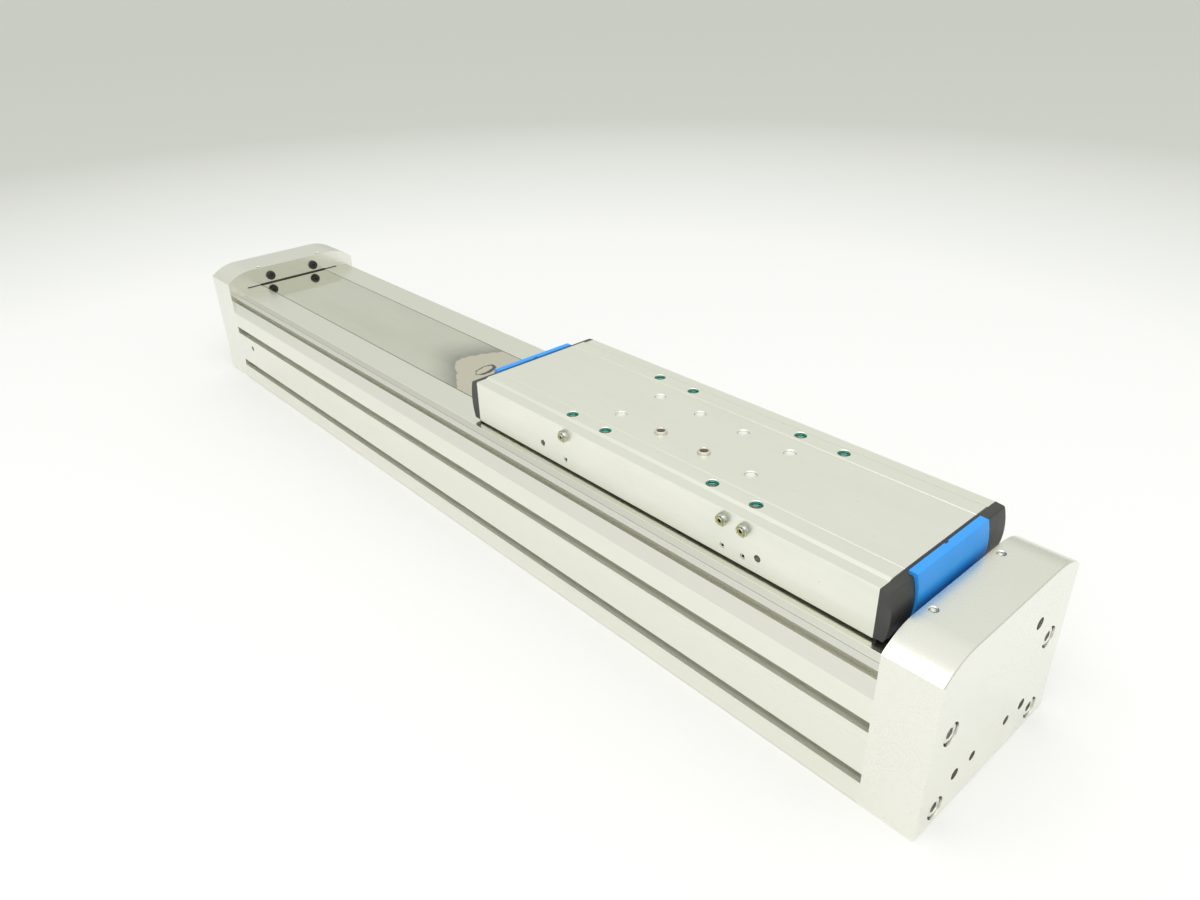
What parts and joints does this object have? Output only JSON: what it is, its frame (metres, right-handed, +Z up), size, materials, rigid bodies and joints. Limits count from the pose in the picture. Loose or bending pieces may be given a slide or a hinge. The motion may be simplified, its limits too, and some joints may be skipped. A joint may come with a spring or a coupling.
{
  "type": "ball screw linear actuator",
  "caption": "Closed linear axis: a slotted aluminium body with end caps, a ball screw inside, and a slide on rails that a steel cover strip passes through.",
  "frame": {"origin": "on the underside of the extruded body, midway along its length and width", "axes": "+X along the screw towards the idle end cap, +Y across towards the far side, +Z up"},
  "size_m": [1.164, 0.186, 0.1745],
  "materials": {
    "body_aluminium": "satin anodised",
    "cap_aluminium": "fine satin",
    "slide_aluminium": "satin anodised",
    "zinc_steel": "plated",
    "dark_steel": "blackened",
    "strip_steel": "bright rolled",
    "rail_steel": "ground",
    "magnet": "matte",
    "rubber_black": "matte",
    "cover_black": "fine matte",
    "insert_blue": "satin",
    "insert_green": "coated",
    "plug_grey": "satin",
    "glide_plastic": "satin",
    "brass": "plated"
  },
  "bodies": {
    "base": {"profile": "body_aluminium", "idle_end_cap": "cap_aluminium", "drive_end_cap": "cap_aluminium", "end_cap_screws": "zinc_steel", "stop_buffers": "rubber_black", "cover_strip": "strip_steel", "magnet_strips": "magnet", "strip_clamp_plates": "strip_steel", "strip_clamp_screws": "dark_steel", "guide_rails": "rail_steel", "guide_rail_screws": "dark_steel", "idle_bearing_outer_ring": "rail_steel", "fixed_bearing_outer_ring": "rail_steel", "bearing_retainer": "zinc_steel", "bearing_retainer_screws": "dark_steel"},
    "slide": {"slide_body": "slide_aluminium", "slide_yoke": "cap_aluminium", "yoke_screws": "dark_steel", "ball_nut": "rail_steel", "ball_nut_screws": "dark_steel", "guide_carriages": "rail_steel", "carriage_end_caps": "glide_plastic", "carriage_screws": "dark_steel", "idle_slide_cover": "cover_black", "drive_slide_cover": "cover_black", "idle_cover_insert": "insert_blue", "drive_cover_insert": "insert_blue", "cover_screws": "dark_steel", "slide_wipers": "rubber_black", "strip_lift_glides": "glide_plastic", "strip_hold_down_glides": "glide_plastic", "thread_inserts": "insert_green", "hole_plugs": "plug_grey", "centring_sleeves": "zinc_steel", "lube_nipples": "brass", "lube_port_plugs": "plug_grey"},
    "screw": {"ball_screw": "rail_steel", "idle_bearing_inner_ring": "rail_steel", "fixed_bearing_inner_ring": "rail_steel", "idle_bearing_circlip": "dark_steel", "bearing_lock_nut": "dark_steel"},
    "idle_balls": {"idle_bearing_balls": "rail_steel"},
    "fixed_balls": {"fixed_bearing_balls": "rail_steel"}
  },
  "joints": [
    {"name": "slide_travel", "type": "slide", "parent": "base", "child": "slide", "axis": [1, 0, 0], "range_m": [-0.545, 0], "deforming": ["cover_strip"]},
    {"name": "screw_spin", "type": "hinge", "parent": "base", "child": "screw", "pos_m": [0, 0, 0.07], "axis": [1, 0, 0], "range_deg": [-1, 4906]},
    {"name": "idle_balls_orbit", "type": "hinge", "parent": "base", "child": "idle_balls", "pos_m": [0, 0, 0.07], "axis": [1, 0, 0], "range_deg": [-1, 2027]},
    {"name": "fixed_balls_orbit", "type": "hinge", "parent": "base", "child": "fixed_balls", "pos_m": [0, 0, 0.07], "axis": [1, 0, 0], "range_deg": [-1, 1883]}
  ],
  "couplings": [
    {"joint": "screw_spin", "follows": "slide_travel", "rad_per_m": -157.08},
    {"joint": "idle_balls_orbit", "follows": "slide_travel", "rad_per_m": -64.881},
    {"joint": "fixed_balls_orbit", "follows": "slide_travel", "rad_per_m": -60.239}
  ]
}
